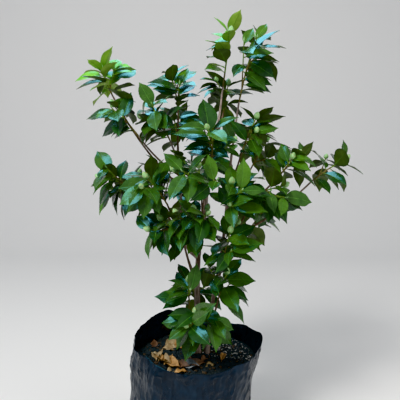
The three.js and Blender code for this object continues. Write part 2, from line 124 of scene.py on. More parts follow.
MORE_LEAVES = 1.45  # over the solids' count
LEAF_LENGTH = (64, 90)
LEAF_SLIM = (0.44, 0.54)  # width over length
LEAF_ARCH = (0.06, 0.22)  # how far the tip bends down, over the length
LEAF_ROOM = dict(limb=1.5, leaf=1.2)
TIP_SIZE = 0.72  # of a leaf at a twig's tip
TRIES = dict(count=16, sway=22, shrink=0.02)  # a leaf without room is turned and made smaller
SEEDS = dict(leaves=5000, next_mass=900, next_leaf=13, buds=300, next_bud=40, bits=77, litter=5, dry=70)
SPRAY = dict(first=0.93, crowding=1.15)  # the first leaf's share of the twig, and how the others follow

# ---- Small tools ----


def vec(*p):
    return np.array(p, float)


UP = vec(0, 0, 1)
LIGHT = vec(0, -0.5, 1)  # where the leaves turn their faces
OUTWARD = 0.7  # how much they also turn them along their twig


def xyz(x, y, z):
    return np.stack(np.broadcast_arrays(x, y, z), -1)


def unit(v):
    return v / np.linalg.norm(v)


def mix(a, b, t):
    return a + (b - a) * t


def smooth(x, low, high):
    t = np.clip((x - low) / (high - low), 0, 1)
    return t * t * (3 - 2 * t)


class Seeded:
    """A repeatable source of numbers between two limits."""

    def __init__(self, seed):
        self.state = seed

    def __call__(self, low, high):
        self.state = (self.state * 1664525 + 1013904223) % 4294967296
        return mix(low, high, self.state / 4294967296)


def heading(azimuth, rise):
    a, r = radians(azimuth), radians(rise)
    return vec(cos(a) * cos(r), sin(a) * cos(r), sin(r))


def around(axis, turn):
    """The unit vector square to axis that is turned round it from the side nearest to up."""
    top = UP if abs(axis[2]) < 0.95 else vec(0, 1, 0)
    u = unit(top - axis * top.dot(axis))
    a = radians(turn)
    return u * cos(a) + np.cross(axis, u) * sin(a)


# ---- Limbs ----


def catmull(places, count):
    """The points of a centripetal Catmull-Rom curve, as three.js draws it."""
    p = [vec(*q) for q in places]
    p = [2 * p[0] - p[1]] + p + [2 * p[-1] - p[-2]]
    spans = len(places) - 1
    points = []
    for i in range(count + 1):
        s = i / count * spans
        k = min(int(s), spans - 1)
        t = s - k
        a, b, c, d = p[k:k + 4]
        d0, d1, d2 = (float(np.dot(v, v)) ** 0.25 for v in (b - a, c - b, d - c))
        m1 = ((b - a) / d0 - (c - a) / (d0 + d1) + (c - b) / d1) * d1
        m2 = ((c - b) / d1 - (d - b) / (d1 + d2) + (d - c) / d2) * d1
        points.append(b + m1 * t + (3 * (c - b) - 2 * m1 - m2) * t * t + (2 * (b - c) + m1 + m2) * t ** 3)
    return np.array(points)


def stem_line(stem, per_span):
    points = catmull(stem["places"], (len(stem["places"]) - 1) * per_span)
    low, high = points[0][2], points[-1][2]
    rise = (points[:, 2] - low) / (high - low)
    flare = stem["flare"] * np.exp((low - points[:, 2]) / FLARE_FADE)
    return points, mix(*stem["radius"], np.maximum(rise, 0) ** STEM_TAPER) + flare


def at_height(line, z):
    """The place and radius of a stem at a height."""
    points, radii = line
    k = int(np.argmax(points[:, 2] > z)) - 1
    t = (z - points[k][2]) / (points[k + 1][2] - points[k][2])
    return mix(points[k], points[k + 1], t), mix(radii[k], radii[k + 1], t)


def bough_line(stem, fork, tip, steps):
    place, radius = at_height(stem, fork)
    end = vec(*tip)
    bend = place + (end - place) * vec(BOUGH["out"], BOUGH["out"], BOUGH["up"])
    t = np.linspace(0, 1, steps + 1)[:, None]
    points = place * (1 - t) ** 2 + bend * 2 * t * (1 - t) + end * t * t
    thick = min(BOUGH["radius"][0], radius * BOUGH["of_stem"])
    return points, mix(thick, BOUGH["radius"][1], t[:, 0])


def beads(line, skip=0):
    """Places every few millimetres along a limb, with its radius there."""
    points, radii = line
    places, sizes = [], []
    for k in range(len(points) - 1):
        count = ceil(np.linalg.norm(points[k + 1] - points[k]) / BEAD)
        for i in range(count + 1):
            places.append(mix(points[k], points[k + 1], i / count))
            sizes.append(max(radii[k], radii[k + 1]))
    return np.array(places[skip:]), np.array(sizes[skip:])


# ---- Leaves, and room for them ----


class Leaf:
    """A leaf's frame and sizes: forward to its tip, side across it, and face out of its upper surface."""

    def __init__(self, place, axis, turn, angle, droop, roll, length, slim, arch, age):
        a = radians(angle)
        forward = axis * cos(a) + around(axis, turn) * sin(a) - UP * droop
        self.place, self.forward = place, unit(forward)
        light = axis * OUTWARD + LIGHT
        level = unit(light - self.forward * light.dot(self.forward))
        r = radians(roll)
        self.face = level * cos(r) + np.cross(self.forward, level) * sin(r)
        self.side = np.cross(self.face, self.forward)
        self.length, self.half, self.arch, self.age = length, length * slim / 2, arch, age

    def points(self, t, s):
        """Places at shares of the length and half width, on the plain surface that is tested for room."""
        along = np.multiply.outer(self.length * t, self.forward)
        across = np.multiply.outer(s * self.half, self.side)
        up = leaf_rise(self.length, self.arch, t) + abs(s) * self.half * LEAF_FOLD
        return self.place + along + across + np.multiply.outer(up, self.face)


def leaf_rise(length, arch, t):
    """How far a leaf's midrib stands over its frame: it rises from the stalk, then bends down."""
    return length * (LEAF_LIFT * t - (LEAF_LIFT + arch) * t * t)


# Spots all over a leaf, and the corners of its outline, as shares of its length and half width.
SPOT_T, SPOT_S = (g.ravel() for g in np.meshgrid([0.2, 0.36, 0.52, 0.68, 0.84, 1], [-1, -0.5, 0, 0.5, 1]))
SPOT_S = SPOT_S * np.sqrt(np.sin(pi * SPOT_T ** 0.85).clip(0))
CORNER_T = np.array([0, 0.34, 0.34, 0.34, 0.68, 0.68, 0.68, 1])
CORNER_S = np.array([0, -1, 0, 1, -0.8, 0, 0.8, 0])


class Stack:
    """The leaves of a mass so far, with spots all over each."""

    def __init__(self):
        self.leaves, self.spots = [], []

    def add(self, leaf):
        self.leaves.append(leaf)
        self.spots.append(leaf.points(SPOT_T, SPOT_S))

    def near(self, points, margin):
        """True if any point is within a margin of any leaf."""
        if not self.leaves:
            return False
        place, forward, side, face, length, half, arch = (
            np.array([getattr(leaf, key) for leaf in self.leaves])[:, None]
            for key in ("place", "forward", "side", "face", "length", "half", "arch"))
        t, s, n = (np.einsum("nmk,nk->nm", points - place, v[:, 0]) for v in (forward, side, face))
        return bool(within(t / length, s / half, n, length, half, arch, margin).any())


def within(t, s, n, length, half, arch, margin):
    """True where a place is in the flat ellipsoid that stands for a leaf, wider by a margin."""
    up = leaf_rise(length, arch, t) + abs(s) * half * LEAF_FOLD
    x = (t - 0.52) / (0.5 + margin / length)
    y = s / (1 + margin / half)
    z = (n - up) / (LEAF["thick"] / 2 + margin)
    return x * x + y * y + z * z < 1


def near_leaf(leaf, points, margin):
    d = points - leaf.place
    t, s, n = d @ leaf.forward / leaf.length, d @ leaf.side / leaf.half, d @ leaf.face
    return bool(within(t, s, n, leaf.length, leaf.half, leaf.arch, margin).any())


def in_cell(cell, points, margin):
    """True if all points are in a mass's own cell, a margin away from its borders."""
    mine = ((points - cell["middle"]) ** 2).sum(1) - cell["reach"] ** 2
    others = cell["others"]
    theirs = ((points[:, None] - others["middle"]) ** 2).sum(2) - others["reach"] ** 2
    apart = np.linalg.norm(others["middle"] - cell["middle"], axis=1)
    return bool((theirs - mine[:, None] > 2 * margin * apart).all())


def over_bag(points):
    """True if all points are clear of the bag and over the compost."""
    r = np.hypot(points[:, 0] - BED_X, points[:, 1])
    clear = (points[:, 2] > LEAF_LIMIT["height"]) | (r < LEAF_LIMIT["radius"])
    return bool((clear & (points[:, 2] > COMPOST + LEAF_LIMIT["over"])).all())


def leaf_fits(leaf, cell, taken, stack):
    """True if a leaf keeps to its cell, and clear of the bag, the limbs and the leaves so far."""
    corners = leaf.points(CORNER_T, CORNER_S)
    if not (over_bag(corners) and in_cell(cell, corners, CELL_GAP + LEAF["thick"])):
        return False
    if near_leaf(leaf, taken[0], taken[1] + LEAF_ROOM["limb"]):
        return False
    spots = leaf.points(SPOT_T, SPOT_S)
    if stack.near(spots, LEAF_ROOM["leaf"]):
        return False
    return not (stack.leaves and near_leaf(leaf, np.concatenate(stack.spots), LEAF_ROOM["leaf"]))


# ---- The rule that a mass grows by ----


def twig_line(start, way, to, length, lift, radii):
    """A twig that starts one way and ends another: its line in the solids, and its smooth curve."""
    points = [start]
    for k in range(1, TWIG["steps"] + 1):
        t = k / TWIG["steps"]
        points.append(points[-1] + unit(mix(way, to, t) + UP * lift * t) * length / TWIG["steps"])
    curve = catmull(points, 12)
    sizes = np.interp(np.linspace(0, 1, 13), np.linspace(0, 1, 3), radii)
    return dict(line=(np.array(points), np.array(radii)), curve=curve, sizes=sizes)


def on_line(points, share):
    """The place at a share of a line's length, and its direction there."""
    at = share * (len(points) - 1)
    k = min(int(at), len(points) - 2)
    step = points[k + 1] - points[k]
    return points[k] + step * (at - k), unit(step)


def side_twigs(first, row, cell, taken, random):
    """The side twigs of a mass, each turned on until it has room. One that finds none is left out."""
    count, turn = row["twigs"], row["turn"]
    low, span = SIDE_TWIG["forks"]
    a = radians(SIDE_TWIG["angle"])
    twigs = []
    for i in range(count):
        fork = low + span * i / count
        place, axis = on_line(first["line"][0], fork)
        reach = row["length"] * random(*SIDE_TWIG["share"])
        for attempt in range(SIDE_TWIG["tries"]):
            spun = turn + i * LEAF["spiral"] + attempt * 360 / SIDE_TWIG["tries"]
            way = axis * cos(a) + around(axis, spun) * sin(a)
            twig = twig_line(place, way, way, reach, 2 * TWIG["lift"], SIDE_TWIG["radii"])
            points = twig["line"][0]
            if not (in_cell(cell, points, CELL_GAP + TWIG_ROOM) and over_bag(points)):
                continue
            body, radii = beads(twig["line"], SKIP)
            apart = np.linalg.norm(body[:, None] - taken[0][None], axis=2)
            if (apart > radii[:, None] + taken[1][None] + SIDE_TWIG["gap"]).all():
                twig["curve"] = twig["curve"] + on_line(first["curve"], fork)[0] - place
                twigs.append(twig)
                break
    return twigs


def twig_leaves(twig, count, bare, cell, taken, stack, random):
    """Adds a twig's leaves to a stack, in a spiral from its tip, where age is 0, to its bare foot."""
    turn = random(0, 360)
    for i in range(count):
        age = i / (count - 1)
        place, axis = on_line(twig["curve"], mix(SPRAY["first"], bare, age ** SPRAY["crowding"]))
        length = random(*LEAF_LENGTH) * mix(TIP_SIZE, 1, min(1, 3 * age))
        slim = random(*LEAF_SLIM)
        arch = random(*LEAF_ARCH)
        angle = mix(*LEAF["angle"], age) + random(*LEAF["stray"])
        firm = smooth(place[2], *LEAF_SLACK["heights"])
        slack = mix(1, LEAF_SLACK["least"], firm) * random(*LEAF_SLACK["luck"])
        droop = mix(*LEAF["droop"], age) * slack
        roll = random(*LEAF["roll"])
        for attempt in range(TRIES["count"]):
            sway = TRIES["sway"] * ceil(attempt / 2) * (1 if attempt % 2 else -1)
            size = length * (1 - TRIES["shrink"] * attempt)
            spun = turn + i * LEAF["spiral"] + sway
            leaf = Leaf(place, axis, spun, angle, droop, roll, size, slim, arch, age)
            if leaf_fits(leaf, cell, taken, stack):
                stack.add(leaf)
                break


def grow(row, index, start, axis, cell, taken):
    """One mass: its twigs and its leaves. The seed is that of the solids' source."""
    random = Seeded(1000 + 77 * index + 7919 * row["turn"])
    first = twig_line(start, axis, heading(*row["lean"]), row["length"], TWIG["lift"], TWIG["radii"])
    twigs = [first] + side_twigs(first, row, cell, taken, random)
    stack = Stack()
    for twig in twigs:
        others = [beads(o["line"], SKIP) for o in twigs if o is not twig]
        blocked = [np.concatenate([taken[j]] + [o[j] for o in others]) for j in (0, 1)]
        count = round((row["leaves"] if twig is first else SIDE_TWIG["leaves"]) * MORE_LEAVES)
        twig_leaves(twig, count, BARE[0 if twig is first else 1], cell, blocked, stack, random)
    return twigs, stack.leaves


stems = {name: stem_line(stem, 2) for name, stem in STEMS.items()}
for name, stem in STEMS.items():
    if "forked" not in stem:
        stems[name][0][0][2] += GAP
boughs = {}
for name, row in MASSES.items():
    if row["fork"]:
        boughs[name] = bough_line(stems[row["stem"]], row["fork"], row["tip"], BOUGH["steps"])
starts = {}
for name, row in MASSES.items():
    points = boughs[name][0] if name in boughs else stems[row["stem"]][0]
    axis = unit(points[-1] - points[-2])
    starts[name] = (points[-1] + axis * GAP, axis)
middles = np.array([
    starts[n][0] + heading(*r["lean"]) * r["length"] * CELL_MIDDLE for n, r in MASSES.items()])
reaches = np.array([r["length"] * CELL_REACH for r in MASSES.values()])
limb_beads = [beads(line) for line in (*stems.values(), *boughs.values())]
taken = [np.concatenate([b[j] for b in limb_beads]) for j in (0, 1)]
masses = {}
for index, (name, row) in enumerate(MASSES.items()):
    rest = np.arange(len(MASSES)) != index
    others = dict(middle=middles[rest], reach=reaches[rest])
    cell = dict(middle=middles[index], reach=reaches[index], others=others)
    masses[name] = grow(row, index, *starts[name], cell, taken)

# ---- Meshes ----

SHARP = 55  # degrees between faces from which an edge is sharp


def piece(name, parts, finishes):
    """A joined mesh of parts. Each is its corners in millimetres and pairs of faces and their finishes."""
    corners, loops, sizes, kinds = [], [], [], []
    base = 0
    for places, faces in parts:
        corners.append(places.reshape(-1, 3))
        for face, kind in faces:
            loops.append((face + base).ravel())
            sizes.append(np.full(len(face), face.shape[1]))
            kinds.append(np.broadcast_to(kind, len(face)))
        base += len(corners[-1])
    corners, loops, sizes, kinds = (np.concatenate(a) for a in (corners, loops, sizes, kinds))
    mesh = bpy.data.meshes.new(name)
    mesh.vertices.add(len(corners))
    mesh.loops.add(len(loops))
    mesh.polygons.add(len(sizes))
    mesh.vertices.foreach_set("co", (corners * MM).astype(np.float32).ravel())
    mesh.loops.foreach_set("vertex_index", loops.astype(np.int32))
    mesh.polygons.foreach_set("loop_start", (np.cumsum(sizes) - sizes).astype(np.int32))
    mesh.polygons.foreach_set("material_index", kinds.astype(np.int32))
    for finish in finishes:
        mesh.materials.append(finish)
    mesh.update(calc_edges=True)
    mesh.validate()
    mesh.set_sharp_from_angle(angle=radians(SHARP))
    made = bpy.data.objects.new(name, mesh)
    bpy.context.scene.collection.objects.link(made)
    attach(made, "root")
    return made


def skins(places, kinds, first=0, last=0):
    """Closed skins over stacks of rings. The axes of places are skin, ring, place in the ring, and xyz."""
    count, rows, ring = places.shape[:3]
    index = np.arange(count * rows * ring).reshape(count, rows, ring)
    turned = np.roll(index, -1, axis=2)
    quads = np.stack([index[:, :-1], turned[:, :-1], turned[:, 1:], index[:, 1:]], axis=-1)
    kinds = np.broadcast_to(kinds, quads.shape[:3])
    faces = [(quads.reshape(-1, 4), kinds.ravel()), (index[:, 0, ::-1], first), (index[:, -1], last)]
    return places, faces


def frames(points):
    """Two directions square to a line at each point, turned as little as can be between points."""
    tangents = np.gradient(points, axis=0)
    tangents /= np.linalg.norm(tangents, axis=1)[:, None]
    u = around(tangents[0], 0)
    us = []
    for tangent in tangents:
        u = unit(u - tangent * u.dot(tangent))
        us.append(u)
    us = np.array(us)
    return us, np.cross(tangents, us)


def lengths(points):
    """The length of a line up to each of its points."""
    return np.concatenate([[0], np.cumsum(np.linalg.norm(np.diff(points, axis=0), axis=1))])


def tube(points, radii, sides, relief=None):
    """The rings of a round limb. relief gives what it adds to the radius at an angle and a length."""
    us, vs = frames(points)
    angle = np.arange(sides) / sides * 2 * pi
    out = radii[:, None] + (relief(angle[None], lengths(points)[:, None], radii[:, None]) if relief else 0)
    across = np.cos(angle)[None, :, None] * us[:, None] + np.sin(angle)[None, :, None] * vs[:, None]
    return points[:, None] + across * out[..., None]


def resampled(points, values, count):
    """Points evenly along a line, with a value and the length so far for each."""
    length = lengths(points)
    at = np.linspace(0, length[-1], count)
    places = np.stack([np.interp(at, length, points[:, k]) for k in range(3)], axis=1)
    return places, np.interp(at, length, values), at


def rough(p, size, depth=3):
    """Smooth noise from -1 to 1 or so at an array of places, with lumps of a size."""
    found = [noise.fractal(Vector(q), 1.0, 2.0, depth) for q in (p / size).reshape(-1, 3)]
    return np.array(found).reshape(p.shape[:-1])


# ---- Finishes ----


def rgb(code):
    """The linear colour of a web colour."""
    parts = [int(code[k:k + 2], 16) / 255 for k in (0, 2, 4)]
    return [c / 12.92 if c <= 0.04045 else ((c + 0.055) / 1.055) ** 2.4 for c in parts] + [1]


class Finish:
    """A procedural material whose nodes are fed places on the object in metres."""

    def __init__(self, name, **sockets):
        self.material = bpy.data.materials.new(name)
        self.material.use_nodes = True
        self.nodes, self.links = self.material.node_tree.nodes, self.material.node_tree.links
        self.shader = self.nodes["Principled BSDF"]
        self.place = self.nodes.new("ShaderNodeTexCoord").outputs["Object"]
        for socket, value in sockets.items():
            self.shader.inputs[socket.replace("_", " ")].default_value = value

    def node(self, kind, inputs, **settings):
        made = self.nodes.new("ShaderNode" + kind)
        for key, value in settings.items():
            setattr(made, key, value)
        for key, value in inputs.items():
            if isinstance(value, bpy.types.NodeSocket):
                self.links.new(value, made.inputs[key])
            else:
                made.inputs[key].default_value = value
        return made

    def stretched(self, scale):
        return self.node("Mapping", {"Vector": self.place, "Scale": scale}).outputs[0]

    def noise(self, scale, detail=4, roughness=0.6, stretch=(1, 1, 1)):
        inputs = {"Vector": self.stretched(stretch), "Scale": scale, "Detail": detail, "Roughness": roughness}
        return self.node("TexNoise", inputs).outputs[0]

    def cells(self, scale, stretch=(1, 1, 1)):
        inputs = {"Vector": self.stretched(stretch), "Scale": scale}
        return self.node("TexVoronoi", inputs, feature="DISTANCE_TO_EDGE").outputs["Distance"]

    def ramp(self, value, *stops):
        made = self.node("ValToRGB", {"Fac": value})
        marks = made.color_ramp.elements
        while len(marks) < len(stops):
            marks.new(0.5)
        for mark, (at, colour) in zip(marks, stops):
            mark.position, mark.color = at, rgb(colour)
        return made.outputs["Color"]

    def ranged(self, value, low, high):
        """A noise's usual values, spread between two others."""
        inputs = {"Value": value, "From Min": 0.3, "From Max": 0.7, "To Min": low, "To Max": high}
        return self.node("MapRange", inputs).outputs["Result"]

    def paint(self, colour, roughness, bumps):
        """Links a finish's values. bumps are heights with the distance in metres that each stands for."""
        self.links.new(colour, self.shader.inputs["Base Color"])
        self.links.new(roughness, self.shader.inputs["Roughness"])
        below = {}
        for height, distance in bumps:
            made = self.node("Bump", {"Height": height, "Distance": distance, "Strength": 1.0, **below})
            below = {"Normal": made.outputs["Normal"]}
        self.links.new(below["Normal"], self.shader.inputs["Normal"])
        return self.material


def leaf_finish(name, dark, light, low, high, coat):
    """A waxy leaf: a gentle mottle, a gloss that comes and goes, and a fine net of veins."""
    f = Finish(name, Coat_Weight=coat, Coat_Roughness=0.12, IOR=1.5)
    mottle = f.noise(45, 5)
    colour = f.ramp(mottle, (0.32, dark), (0.68, light))
    gloss = f.ranged(f.noise(60), low, high)
    bumps = [(f.cells(420), 0.0002), (f.noise(70, 3), 0.0007), (f.noise(300), 0.0001)]
    return f.paint(colour, gloss, bumps)


LEAF_FINISHES = [
    leaf_finish("leaf_top_dark", "223e1f", "33532a", 0.16, 0.3, 0.4),
    leaf_finish("leaf_top_mid", "2e4d20", "42652b", 0.16, 0.32, 0.35),
    leaf_finish("leaf_top_fresh", "3b5f20", "50782a", 0.2, 0.36, 0.3),
    leaf_finish("leaf_top_young", "5a9c1a", "84c431", 0.28, 0.44, 0.15),
    leaf_finish("leaf_under", "35481a", "506426", 0.4, 0.55, 0.0),
    leaf_finish("leaf_under_young", "7ea048", "a3c060", 0.4, 0.55, 0.0),
    leaf_finish("leaf_midrib", "3c6a28", "5e8c3e", 0.34, 0.46, 0.1),
    leaf_finish("leaf_stalk", "5f7a34", "86984c", 0.4, 0.55, 0.0),
]
DARK, MIDDLE, FRESH, BRIGHT, UNDER, UNDER_BRIGHT, MIDRIB, STALK = range(8)


def bark_finish(name, dark, mid, light, size):
    """Thin bark: long grain, fine cracks, and pale lichen-grey patches."""
    f = Finish(name, Specular_IOR_Level=0.35)
    grain = f.noise(160 / size, 6, 0.65, (1, 1, 0.25))
    colour = f.ramp(grain, (0.3, dark), (0.5, mid), (0.72, light))
    cracks = f.cells(420 / size, stretch=(1, 1, 0.35))
    return f.paint(colour, f.ranged(grain, 0.7, 0.9), [(grain, 0.0006 * size), (cracks, 0.0004 * size)])


BARK = bark_finish("stem_bark", "594c45", "948780", "c8bcb4", 1.4)
BOUGH_BARK = bark_finish("bough_bark", "3f342c", "6d5d50", "958373", 1)
TWIG_BARK = bark_finish("twig_bark", "4c4a2c", "6d6440", "8f7f58", 0.7)
TWIG_GREEN = bark_finish("twig_green", "4f6a2c", "6d8a3c", "93a455", 0.6)


def bud_finish(name, dark, light):
    """A bud's scales, with a fine down."""
    f = Finish(name, Coat_Weight=0.12, Coat_Roughness=0.25)
    tone = f.noise(120)
    down = f.noise(900, 3, 0.5, (1, 1, 0.3))
    colour = f.ramp(tone, (0.3, dark), (0.7, light))
    return f.paint(colour, f.ranged(tone, 0.38, 0.52), [(down, 0.0002)])


BUD_FINISHES = [bud_finish("bud_scale", "7aa565", "a8ce96"), bud_finish("bud_edge", "94905c", "bcb480")]


def film_finish(name, dark, light, low, high):
    """Black polythene: a dull bloom and scuffs over the gloss, and slack, crumpled film. Its colour also
    holds painted reflections: a blue tint, with paler blue patches and streaks of painted highlight.
    """
    f = Finish(name, IOR=1.5, Specular_Tint=(0.78, 0.86, 1, 1))
    bloom = f.noise(14, 6, 0.65, (1, 1, 0.5))
    scuffs = f.noise(120, 5, 0.7, (1, 1, 0.35))
    wear_and_sheen = f.node("Math", {0: bloom, 1: scuffs}, operation="MULTIPLY").outputs[0]
    # painted highlight: the paler blue end of this ramp, laid over the bloom and scuffs, stands in for
    # reflections of a blue sky
    colour = f.ramp(wear_and_sheen, (0.15, dark), (0.42, light))
    gloss = f.ranged(bloom, low, high)
    broad = f.noise(13, 2, 0.45, (1, 1, 0.8))
    creased = f.cells(55, stretch=(1, 1, 0.6))
    slack = f.noise(34, 1.5, 0.5, (1, 1, 1.2))
    fine = f.noise(260)
    return f.paint(colour, gloss, [(broad, 0.013), (creased, 0.0012), (slack, 0.0048), (fine, 0.00012)])


FILM_FINISHES = [
    # the outside's navy tones are partly painted reflection of a blue sky on black film
    film_finish("film_outside", "04080d", "1a2937", 0.12, 0.42),
    film_finish("film_inside", "0a0d10", "161b20", 0.2, 0.34),
]


def earth_finish(name, dark, mid, light, scale):
    """Compost and crumbs: all grain, dull and damp."""
    f = Finish(name, Specular_IOR_Level=0.3)
    grain = f.noise(scale, 7, 0.7)
    colour = f.ramp(grain, (0.34, dark), (0.52, mid), (0.7, light))
    return f.paint(colour, f.ranged(grain, 0.73, 0.95), [(grain, 0.0016), (f.noise(scale * 3), 0.0005)])


EARTH = earth_finish("compost_earth", "17191a", "333636", "64686a", 260)
BIT_FINISHES = [
    earth_finish("bit_dark", "1c1e1f", "383c3e", "6b7074", 600),
    earth_finish("bit_brown", "3a322b", "5b5045", "83786a", 600),
    earth_finish("bit_pale", "b4b3b0", "cfcfcc", "e6e6e2", 700),
]


def dry_finish(name, dark, mid, light):
    """A dead leaf: blotched, dull and finely wrinkled."""
    f = Finish(name, Specular_IOR_Level=0.35)
    tone = f.noise(70, 6, 0.7)
    colour = f.ramp(tone, (0.3, dark), (0.5, mid), (0.7, light))
    return f.paint(colour, f.ranged(tone, 0.5, 0.72), [(f.cells(300), 0.0004), (tone, 0.0008)])


DRY_FINISHES = [
    dry_finish("dry_tan", "72604a", "a08c6c", "c4b492"),
    dry_finish("dry_ochre", "745536", "a37e52", "c4a47a"),
    dry_finish("dry_brown", "42332a", "6a5344", "8d7766"),
    dry_finish("dry_grey", "474a4c", "6c7072", "92969a"),
]

# ---- Leaves ----

PETIOLE = 0.095  # the stalk's share of a leaf's length
ROWS = np.concatenate([[0, 0.05], np.linspace(PETIOLE, 1, 19)])  # shares of a leaf's length
INNER, OUTER = 0.3, 0.66  # shares of the half width between the midrib and the margin
OUT = np.array([1, OUTER, INNER, 0, 0, INNER, OUTER, 1, OUTER, 0, 0, OUTER])  # round the ring
LEAF_SIDES = np.array([-1, -1, -1, -1, 1, 1, 1, 1, 1, 1, -1, -1])  # of the midrib, round the ring
UNDER_OUTER, UNDER_MIDDLE = [8, 11], [9, 10]  # the ring's places on the underside
WIDEST = 0.3256  # about what the blade's formula gives where it is widest
VEIN, VEIN_SWEEP = 0.28, 0.07  # relief of the side veins, and how far they run forward to the margin
TOOTH = 0.025  # over the half width
STALK_HALF, TIP_HALF = 0.85, 0.22  # half widths of the stalk and of a leaf at its tip


def blade_width(u):
    """The share of the half width along the blade: widest below the middle, with a drawn-out tip."""
    w = np.clip(u, 0, 1) ** 0.72 * np.clip(1 - u, 0, 1) ** 0.92
    return w / WIDEST * (1 - 0.42 * smooth(u, 0.72, 0.95))


def leaf_places(leaf, seed, curl):
    """The rings of a leaf: its upper surface from margin to margin, then its underside back."""
    random = Seeded(seed)
    odd = (np.arange(len(ROWS)) % 2)[:, None]
    u = (ROWS[:, None] - PETIOLE) / (1 - PETIOLE)
    swept = VEIN_SWEEP * np.sin(pi * u.clip(0, 1))
    t = ROWS[:, None] + swept * OUT
    edge = u + swept / (1 - PETIOLE)
    teeth = 1 + TOOTH * odd * (edge > 0.1) * (edge < 0.9)
    least = mix(STALK_HALF, TIP_HALF, smooth(ROWS[:, None], 0.1, 0.95))
    half = np.maximum(leaf.half * blade_width(edge) * teeth, least)
    rib = mix(0.8, TIP_HALF, ROWS[:, None] ** 0.8)
    y = mix(rib, half, OUT) * LEAF_SIDES
    fold = random(0.2, 0.42) + random(0.3, 1.3) * curl
    wave = random(0.02, 0.09) + 0.32 * curl
    phase, waves = random(0, 6.3), random(1.2, 2.2)
    twist, bend = random(-0.22, 0.22), random(-0.1, 0.1)
    a = abs(y) / leaf.half
    rise = leaf_rise(leaf.length, leaf.arch, t)
    rise = rise + leaf.half * (fold * a - 0.42 * fold * a * a)
    rise = rise + leaf.half * wave * a * a * np.sin(2 * pi * waves * t + phase + (y > 0) * 2.1)
    rise = rise + y * twist * (t - 0.2) * 1.2
    vein = mix(VEIN, -VEIN, odd) * smooth(u, 0.04, 0.2) * (1 - smooth(u, 0.8, 0.95))
    rise = rise + vein * (OUT > 0)
    rise[:, UNDER_OUTER] -= mix(1.5, 0.45, smooth(ROWS, 0.04, 0.14))[:, None]
    rise[:, UNDER_MIDDLE] -= mix(1.7, 0.6, smooth(ROWS, 0.05, 0.3))[:, None]
    y = y + leaf.length * bend * t * t
    along = leaf.length * t[..., None] * leaf.forward
    return leaf.place + along + y[..., None] * leaf.side + rise[..., None] * leaf.face


def leaf_kinds(top, under):
    """The finish of each face round a leaf, row by row."""
    ring = np.array([top] * 3 + [MIDRIB] + [top] * 3 + [under] * 2 + [MIDRIB] + [under] * 2)
    kinds = np.tile(ring, (len(ROWS) - 1, 1))
    kinds[:2] = STALK
    return kinds


def leaf_skins(leaves, tops, unders, seed, curl=0):
    """Some leaves as one closed skin each. A curl of 1 is that of a dry leaf."""
    seeds = [seed + SEEDS["next_leaf"] * k for k in range(len(leaves))]
    places = np.array([leaf_places(leaf, own, curl) for leaf, own in zip(leaves, seeds)])
    kinds = np.array([leaf_kinds(top, under) for top, under in zip(tops, unders)])
    turned = [*range(10, -1, -1), 11]  # the faces round the ring, after its places are put in reverse order
    return skins(places[:, :, ::-1], kinds[:, :, turned], STALK, MIDRIB)


SIDES = {  # the first that holds for the middle of a mass takes its leaves
    "leaves_left": lambda x, y: x < -10 and y < 45,
    "leaves_back": lambda x, y: y >= 45,
    "leaves_right": lambda x, y: x > 105,
    "leaves_centre": lambda x, y: True,
}
shared = {side: [] for side in SIDES}
for index, name in enumerate(MASSES):
    x, y = middles[index][:2]
    shared[next(side for side, holds in SIDES.items() if holds(x, y))].append(name)


def leaf_tone(name, age, luck):
    """Young sprays are bright at the tip. The rest are mostly dark, with fresher leaves among them. The low
    masses take only the middle and dark tones, as painted shade.
    """
    if name in YOUNG:
        return BRIGHT if age < 0.5 or luck < 0.3 else FRESH
    # painted shade: no fresh leaves low in the shrub, and more dark ones
    if name in SHADED_LOW:
        return MIDDLE if luck < 0.35 else DARK
    if age < 0.25:
        return FRESH if luck < 0.24 else MIDDLE
    return FRESH if luck < 0.06 else MIDDLE if luck < 0.42 else DARK


for side, names in shared.items():
    parts = []
    for name in names:
        leaves = masses[name][1]
        seed = SEEDS["leaves"] + SEEDS["next_mass"] * list(MASSES).index(name)
        random = Seeded(seed)
        tops = [leaf_tone(name, leaf.age, random(0, 1)) for leaf in leaves]
        unders = [UNDER_BRIGHT if top == BRIGHT else UNDER for top in tops]
        parts.append(leaf_skins(leaves, tops, unders, seed))
    made = piece(side, parts, LEAF_FINISHES)
    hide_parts(*[f"foliage_{name}" for name in names])

# ---- Twigs and buds ----

TWIG_RINGS, TWIG_SIDES = 20, 8
GREEN_FROM, GREEN_FROM_YOUNG = 0.55, 0.25  # the shares of a twig's length where its bark turns green
SCALES = 7  # of a flower bud
FIRST_BUD, SIDE_BUD = (18, 23), (14, 18)  # lengths of a flower bud on a first twig and on a side twig


def knuckled(angle, length, radius):
    """A twig's relief: a swelling at each old leaf, and a little roughness between."""
    node = np.exp(-(((length + 4) % 13 - 6.5) / 1.4) ** 2)
    return radius * (0.14 * node + 0.05 * np.sin(3 * angle + length / 5))


twig_parts = []
for name, (twigs, _) in masses.items():
    for twig in twigs:
        points, radii, at = resampled(twig["curve"], twig["sizes"], TWIG_RINGS)
        brown = at[-1] * (GREEN_FROM_YOUNG if name in YOUNG else GREEN_FROM)
        green = np.where(at[:-1] > brown, 1, 0)[None, :, None]
        rings = tube(points, radii, TWIG_SIDES, knuckled)
        twig_parts.append(skins(rings[None], green, 0, 1))
made = piece("twigs", twig_parts, [TWIG_BARK, TWIG_GREEN])
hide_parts(*[f"foliage_{name}" for name in MASSES])


def egg(h):
    """The radius of a bud over its half width, at a share of its height."""
    return np.sqrt(np.clip(np.sin(pi * np.clip(h, 0, 1) ** 0.86), 0, 1)) * (1 - 0.35 * h ** 3)


